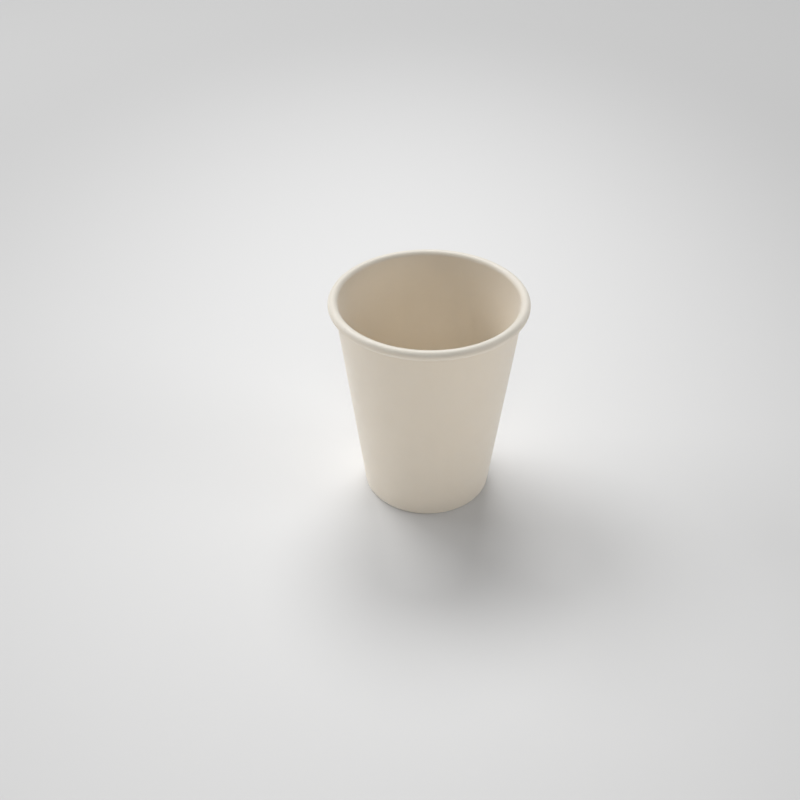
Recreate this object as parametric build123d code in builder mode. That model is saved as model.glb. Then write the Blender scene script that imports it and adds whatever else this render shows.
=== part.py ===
from build123d import *
from math import asin, atan2, cos, degrees, radians, sin, tan
import os

# Reusable drinking cup, moulded in one piece of polypropylene.
# Millimetres. The cup's axis is +Z and the table it stands on is Z = 0.

# Overall
rim_diameter = 80.0  # across the outside of the rim
height = 92.0  # table to the top of the rim
base_diameter = 54.0  # line of the outside wall, carried down to the table

# Wall and rim
wall = 1.5  # thickness of the side wall, and of the rim around its groove
rim_groove = 1.0  # width of the groove that hollows the round rim from below
rim_turn = 45.0  # degrees that the rim's round carries on below its widest point

# Floor and foot
floor_thickness = 1.6
foot_height = 3.0  # table to the underside of the floor
foot_width = 2.6  # thickness of the foot ring at the table
foot_draft = 3.0  # degrees, inner side of the foot ring
floor_corner_radius = 4.0  # inside, where the wall meets the floor
foot_edge_radius = 1.4  # outer edge of the foot ring
foot_inner_chamfer = 0.3  # inner edge of the foot ring
foot_root_chamfer = 0.8  # underside, where the foot ring meets the floor

# Mark of the moulding gate, sunk in the underside of the floor
gate_well_diameter = 7.0
gate_well_depth = 0.4
gate_stub_diameter = 1.6
gate_stub_height = 0.25

# Round of the rim: the wall's thickness on both sides of the groove
groove_radius = rim_groove / 2
rim_radius = groove_radius + wall
rim_centre = Vector(rim_diameter / 2 - rim_radius, height - rim_radius)

# The outside of the wall runs from the foot to the inner side of the groove,
# and the inside of the wall, one thickness further in, runs into the rim's round
foot_corner = Vector(base_diameter / 2, 0)
foot_to_rim = rim_centre - foot_corner
taper = degrees(atan2(foot_to_rim.X, foot_to_rim.Y) - asin(groove_radius / foot_to_rim.length))
wall_slope = tan(radians(taper))
outward = Vector(cos(radians(taper)), -sin(radians(taper)))
wall_top_inside = rim_centre - outward * rim_radius

# Underside of the rim and the groove in it
rim_lip_outer = rim_centre + Vector(cos(radians(rim_turn)), -sin(radians(rim_turn))) * rim_radius
rim_lip_inner = Vector(rim_centre.X + groove_radius, rim_lip_outer.Y)
groove_top = height - wall
groove_top_outer = Vector(rim_lip_inner.X, groove_top)
groove_top_inner = Vector(foot_corner.X + groove_top * wall_slope, groove_top)

# Floor and foot ring
floor_top = foot_height + floor_thickness
floor_corner = Vector(wall_top_inside.X - (wall_top_inside.Y - floor_top) * wall_slope, floor_top)
foot_inner_corner = Vector(base_diameter / 2 - foot_width, 0)
foot_root = Vector(foot_inner_corner.X - foot_height * tan(radians(foot_draft)), foot_height)

# Gate mark: a shallow well with the trimmed stub of the gate inside it
gate_roof = foot_height + gate_well_depth
gate_well_mouth = Vector(gate_well_diameter / 2, foot_height)
gate_well_root = Vector(gate_well_diameter / 2, gate_roof)
gate_stub_root = Vector(gate_stub_diameter / 2, gate_roof)
gate_stub_tip = Vector(gate_stub_diameter / 2, gate_roof - gate_stub_height)

os.makedirs("parts", exist_ok=True)

with BuildPart() as cup:
    # Half section of the cup, turned about its axis
    with BuildSketch(Plane.XZ) as section:
        with BuildLine():
            Polyline((0, floor_top), floor_corner, wall_top_inside)
            CenterArc(rim_centre, rim_radius, 180 - taper, taper - 180 - rim_turn)
            Polyline(
                rim_lip_outer,
                rim_lip_inner,
                groove_top_outer,
                groove_top_inner,
                foot_corner,
                foot_inner_corner,
                foot_root,
                gate_well_mouth,
                gate_well_root,
                gate_stub_root,
                gate_stub_tip,
                (0, gate_stub_tip.Y),
                (0, floor_top),
            )
        make_face()
        fillet(section.vertices().sort_by_distance(floor_corner)[0], floor_corner_radius)
        fillet(section.vertices().sort_by_distance(foot_corner)[0], foot_edge_radius)
        chamfer(section.vertices().sort_by_distance(foot_inner_corner)[0], foot_inner_chamfer)
        chamfer(section.vertices().sort_by_distance(foot_root)[0], foot_root_chamfer)
    revolve(axis=Axis.Z)

cup.part.label = "cup"
export_step(cup.part, "parts/cup.step")
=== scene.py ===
from math import cos, radians, sin

import bpy
from mathutils import Matrix, Vector


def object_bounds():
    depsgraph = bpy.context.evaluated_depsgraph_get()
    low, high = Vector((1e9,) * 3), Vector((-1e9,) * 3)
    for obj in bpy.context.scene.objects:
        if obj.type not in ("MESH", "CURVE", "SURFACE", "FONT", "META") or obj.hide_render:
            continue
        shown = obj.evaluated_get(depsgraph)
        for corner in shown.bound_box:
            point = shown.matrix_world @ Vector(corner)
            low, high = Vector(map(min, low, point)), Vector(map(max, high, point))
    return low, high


# A reusable drinking cup of off-white moulded plastic, on a plain pale table. Metres.

# Camera, fitted to the outlines of the rim, the wall and the base
CAMERA_AT = Vector((0.0, -0.33825, 0.29718))
CAMERA_PAN = radians(-1.981)
CAMERA_TILT = radians(37.145)
CAMERA_ROLL = radians(-0.376)
CAMERA_NEAREST = 0.01
LENS_MM = 45.0
SENSOR_MM = 36.0

# Light: soft round lamps, each with its azimuth (0 is straight behind the cup, and it
# turns to the right), elevation and watts, in a dim even room with a pale backdrop
LAMP_DISTANCE = 2.6
LAMP_DIAMETER = 1.2
LAMPS = {
    "soft_behind_left": (-45.0, 50.0, 29.0),
    "soft_behind": (0.0, 58.0, 32.0),
    "fill_left": (-75.0, 28.0, 13.0),
    "fill_right": (100.0, 20.0, 9.2),
    "fill_front": (180.0, 40.0, 10.5),
}
ROOM = (0.20, 0.20, 0.20, 1.0)
BACKDROP = (0.52, 0.52, 0.52, 1.0)

# Table: the colour that the camera sees, with a painted pool of light around the cup that
# falls off softly, and the paler one that lights the cup from below. Far out it fades into
# the backdrop.
TABLE_SIZE = 4.0
# A painted pool of light: the table is seen paler near the cup and darker farther out
TABLE_PAINTED_LIGHT_NEAR = (0.715, 0.715, 0.715, 1.0)
TABLE_PAINTED_FALLOFF_FAR = (0.48, 0.48, 0.48, 1.0)
TABLE_BOUNCE = (0.95, 0.95, 0.95, 1.0)
TABLE_PAINTED_POOL_AT = (-0.01, 0.08, 0.0)
TABLE_PAINTED_POOL_HALF = (0.38, 0.62, 1.0)
TABLE_FADE_FROM = 0.4
TABLE_FADE_TO = 1.6
TABLE_SHINE = 0.2
TABLE_ROUGHNESS = (0.52, 0.62)
FIBRES_PER_METRE = 1500.0
FIBRE_OCTAVES = 3.0
FIBRE_DEPTH = 0.00001

# Plastic: two near shades that cloud into each other, small changes of gloss, painted shade
# on the crest of the rim that makes the brightly lit crest darker and greyer, a smoother crest,
# a fine moulded grain, a pale bloom towards the edges, and a little light that spreads inside
PLASTIC_PALE = (0.751, 0.681, 0.577, 1.0)
PLASTIC_DEEP = (0.743, 0.673, 0.569, 1.0)
# Painted shade: a darker, greyer colour on the crest of the rim, where the light falls
# brightest
PLASTIC_CREST_PAINTED_SHADE = (0.666, 0.626, 0.553, 1.0)
CREST_FROM = 0.0022  # below the top of the rim, where the crest's painted shade and polish start
CREST_FULL = 0.0002  # below the top of the rim, where it is full
CREST_POLISH = 0.10  # taken off the roughness there
CLOUDS_PER_METRE = 90.0
CLOUD_OCTAVES = 4.0
GLOSS_PER_METRE = 260.0
GLOSS_OCTAVES = 3.0
GLOSS_ROUGHNESS = (0.50, 0.60)
GRAIN_PER_METRE = 2600.0
GRAIN_OCTAVES = 2.0
GRAIN_DEPTH = 0.00003
BLOOM = 0.24
LIGHT_INSIDE = 0.5
LIGHT_REACH = (0.0022, 0.0022, 0.0022)  # red, green and blue
LIGHT_REACH_SCALE = 1.0

# Nearly all of a noise texture's values lie between these two
NOISE_LOW = 0.3
NOISE_HIGH = 0.7


def add_camera():
    """The camera at the photograph's place, turned by pan, tilt and roll."""
    forward = Vector(
        (
            sin(CAMERA_PAN) * cos(CAMERA_TILT),
            cos(CAMERA_PAN) * cos(CAMERA_TILT),
            -sin(CAMERA_TILT),
        )
    )
    level = Vector((cos(CAMERA_PAN), -sin(CAMERA_PAN), 0.0))
    upright = level.cross(forward)
    right = level * cos(CAMERA_ROLL) + upright * sin(CAMERA_ROLL)
    up = upright * cos(CAMERA_ROLL) - level * sin(CAMERA_ROLL)
    camera = bpy.data.objects.new("camera", bpy.data.cameras.new("camera"))
    bpy.context.scene.collection.objects.link(camera)
    camera.data.lens = LENS_MM
    camera.data.sensor_width = SENSOR_MM
    camera.data.clip_start = CAMERA_NEAREST
    turn = Matrix((right, up, -forward)).transposed().to_4x4()
    camera.matrix_world = Matrix.Translation(CAMERA_AT) @ turn
    bpy.context.scene.camera = camera


def add_lamp(name, aim, azimuth, elevation, watts):
    """A soft round lamp that points at the middle of the cup."""
    data = bpy.data.lights.new(name, "AREA")
    data.shape = "DISK"
    data.size = LAMP_DIAMETER
    data.energy = watts
    lamp = bpy.data.objects.new(name, data)
    bpy.context.scene.collection.objects.link(lamp)
    around = radians(azimuth)
    above = radians(elevation)
    away = Vector((sin(around) * cos(above), cos(around) * cos(above), sin(above)))
    lamp.location = aim + away * LAMP_DISTANCE
    lamp.rotation_euler = away.to_track_quat("Z", "Y").to_euler()


def add_room():
    """Dim even light from all around, in front of a pale backdrop."""
    world = bpy.data.worlds.new("room")
    world.use_nodes = True
    tree = world.node_tree
    color = add_mix(tree, add_seen(tree), ROOM, BACKDROP)
    tree.links.new(color, tree.nodes["Background"].inputs["Color"])
    bpy.context.scene.world = world


def new_material(name):
    """A material with its node tree and the shader in it."""
    material = bpy.data.materials.new(name)
    material.use_nodes = True
    tree = material.node_tree
    return material, tree, tree.nodes["Principled BSDF"]


def add_noise(tree, place, per_metre, octaves):
    """A cloudy pattern of about so many patches to the metre."""
    noise = tree.nodes.new("ShaderNodeTexNoise")
    noise.inputs["Scale"].default_value = per_metre
    noise.inputs["Detail"].default_value = octaves
    tree.links.new(place, noise.inputs["Vector"])
    return noise.outputs["Fac"]


def add_range(tree, value, start, end, low=0.0, high=1.0):
    """Eases from low to high as the value goes from start to end."""
    spread = tree.nodes.new("ShaderNodeMapRange")
    spread.interpolation_type = "SMOOTHSTEP"
    spread.inputs["From Min"].default_value = start
    spread.inputs["From Max"].default_value = end
    spread.inputs["To Min"].default_value = low
    spread.inputs["To Max"].default_value = high
    tree.links.new(value, spread.inputs["Value"])
    return spread.outputs["Result"]


def add_mix(tree, factor, first, second):
    """Mixes two colours, each a constant or an output of another node."""
    mix = tree.nodes.new("ShaderNodeMix")
    mix.data_type = "RGBA"
    tree.links.new(factor, mix.inputs["Factor"])
    for name, color in (("A", first), ("B", second)):
        if isinstance(color, tuple):
            mix.inputs[name].default_value = color
        else:
            tree.links.new(color, mix.inputs[name])
    return mix.outputs["Result"]


def add_bump(tree, height, depth, shader):
    """Fine relief on the shader, as deep as the depth where the height is 1."""
    bump = tree.nodes.new("ShaderNodeBump")
    bump.inputs["Distance"].default_value = depth
    tree.links.new(height, bump.inputs["Height"])
    tree.links.new(bump.outputs["Normal"], shader.inputs["Normal"])


def add_seen(tree):
    """1 for what the camera sees, straight or in a reflection, and 0 for light that bounces."""
    path = tree.nodes.new("ShaderNodeLightPath")
    seen = path.outputs["Is Camera Ray"]
    for ray in ("Is Glossy Ray", "Is Transmission Ray"):
        either = tree.nodes.new("ShaderNodeMath")
        either.operation = "MAXIMUM"
        tree.links.new(seen, either.inputs[0])
        tree.links.new(path.outputs[ray], either.inputs[1])
        seen = either.outputs["Value"]
    return seen


def table_card():
    """Smooth white card with fine fibres, and a painted pool of light that is palest around the
    cup.
    """
    material, tree, shader = new_material("table_card")
    place = tree.nodes.new("ShaderNodeTexCoord").outputs["Object"]

    # Painted pool of light: paler table around the cup, darker farther out
    painted_pool = tree.nodes.new("ShaderNodeMapping")
    painted_pool.vector_type = "TEXTURE"
    painted_pool.inputs["Location"].default_value = TABLE_PAINTED_POOL_AT
    painted_pool.inputs["Scale"].default_value = TABLE_PAINTED_POOL_HALF
    tree.links.new(place, painted_pool.inputs["Vector"])
    gradient = tree.nodes.new("ShaderNodeTexGradient")
    gradient.gradient_type = "SPHERICAL"
    tree.links.new(painted_pool.outputs["Vector"], gradient.inputs["Vector"])
    painted_light = add_range(tree, gradient.outputs["Fac"], 0.0, 1.0)
    seen_painted_pool = add_mix(tree, painted_light, TABLE_PAINTED_FALLOFF_FAR, TABLE_PAINTED_LIGHT_NEAR)

    # The camera and reflections see that colour, and the cup is lit by the paler one
    color = add_mix(tree, add_seen(tree), TABLE_BOUNCE, seen_painted_pool)
    tree.links.new(color, shader.inputs["Base Color"])

    # Fibres, in the gloss and as fine relief
    fibres = add_noise(tree, place, FIBRES_PER_METRE, FIBRE_OCTAVES)
    roughness = add_range(tree, fibres, NOISE_LOW, NOISE_HIGH, *TABLE_ROUGHNESS)
    tree.links.new(roughness, shader.inputs["Roughness"])
    shader.inputs["Specular IOR Level"].default_value = TABLE_SHINE
    add_bump(tree, fibres, FIBRE_DEPTH, shader)

    # Far out the table gives way to the backdrop
    distance = tree.nodes.new("ShaderNodeVectorMath")
    distance.operation = "LENGTH"
    tree.links.new(place, distance.inputs[0])
    fade = add_range(tree, distance.outputs["Value"], TABLE_FADE_FROM, TABLE_FADE_TO)
    clear = tree.nodes.new("ShaderNodeBsdfTransparent")
    blend = tree.nodes.new("ShaderNodeMixShader")
    tree.links.new(fade, blend.inputs["Fac"])
    tree.links.new(shader.outputs["BSDF"], blend.inputs[1])
    tree.links.new(clear.outputs["BSDF"], blend.inputs[2])
    tree.links.new(blend.outputs["Shader"], tree.nodes["Material Output"].inputs["Surface"])
    return material


def add_table():
    """A flat square that the cup stands on."""
    half = TABLE_SIZE / 2
    corners = [(-half, -half, 0), (half, -half, 0), (half, half, 0), (-half, half, 0)]
    mesh = bpy.data.meshes.new("table")
    mesh.from_pydata(corners, [], [(0, 1, 2, 3)])
    mesh.materials.append(table_card())
    table = bpy.data.objects.new("table", mesh)
    bpy.context.scene.collection.objects.link(table)


def cup_plastic(rim_top):
    """Satin moulded plastic with a fine grain, faint clouds and small changes of gloss."""
    material, tree, shader = new_material("cup_plastic")
    place = tree.nodes.new("ShaderNodeTexCoord").outputs["Object"]

    # Colour: faint clouds, and painted shade that darkens and greys the brightly lit crest of
    # the rim
    clouds = add_noise(tree, place, CLOUDS_PER_METRE, CLOUD_OCTAVES)
    paleness = add_range(tree, clouds, NOISE_LOW, NOISE_HIGH)
    body_color = add_mix(tree, paleness, PLASTIC_DEEP, PLASTIC_PALE)
    split = tree.nodes.new("ShaderNodeSeparateXYZ")
    tree.links.new(place, split.inputs["Vector"])
    # The crest mask carries both the painted shade on the crest and its smoother gloss
    crest_shade_and_polish = add_range(tree, split.outputs["Z"], rim_top - CREST_FROM, rim_top - CREST_FULL)
    color = add_mix(tree, crest_shade_and_polish, body_color, PLASTIC_CREST_PAINTED_SHADE)
    tree.links.new(color, shader.inputs["Base Color"])

    # Gloss: soft patches, smoother on the crest
    gloss = add_noise(tree, place, GLOSS_PER_METRE, GLOSS_OCTAVES)
    roughness = add_range(tree, gloss, NOISE_LOW, NOISE_HIGH, *GLOSS_ROUGHNESS)
    polished = tree.nodes.new("ShaderNodeMath")
    polished.operation = "MULTIPLY_ADD"
    tree.links.new(crest_shade_and_polish, polished.inputs[0])
    polished.inputs[1].default_value = -CREST_POLISH
    tree.links.new(roughness, polished.inputs[2])
    tree.links.new(polished.outputs["Value"], shader.inputs["Roughness"])

    # Bloom, light inside and grain
    shader.inputs["Sheen Weight"].default_value = BLOOM
    shader.inputs["Subsurface Weight"].default_value = LIGHT_INSIDE
    shader.inputs["Subsurface Radius"].default_value = LIGHT_REACH
    shader.inputs["Subsurface Scale"].default_value = LIGHT_REACH_SCALE
    grain = add_noise(tree, place, GRAIN_PER_METRE, GRAIN_OCTAVES)
    add_bump(tree, grain, GRAIN_DEPTH, shader)
    return material


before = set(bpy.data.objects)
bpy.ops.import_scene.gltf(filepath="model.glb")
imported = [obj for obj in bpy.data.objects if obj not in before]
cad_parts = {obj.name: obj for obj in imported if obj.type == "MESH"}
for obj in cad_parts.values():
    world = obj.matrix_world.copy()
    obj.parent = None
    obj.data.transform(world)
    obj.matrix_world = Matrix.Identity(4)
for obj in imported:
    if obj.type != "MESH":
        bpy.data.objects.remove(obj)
cad_low, cad_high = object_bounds()

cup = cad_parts["cup"]
cup.material_slots[0].material = cup_plastic(rim_top=cad_high.z)

add_camera()
add_table()
add_room()
cup_middle = (cad_low + cad_high) / 2
for name, (azimuth, elevation, watts) in LAMPS.items():
    add_lamp(name, cup_middle, azimuth, elevation, watts)
bpy.context.scene.view_settings.view_transform = "Standard"
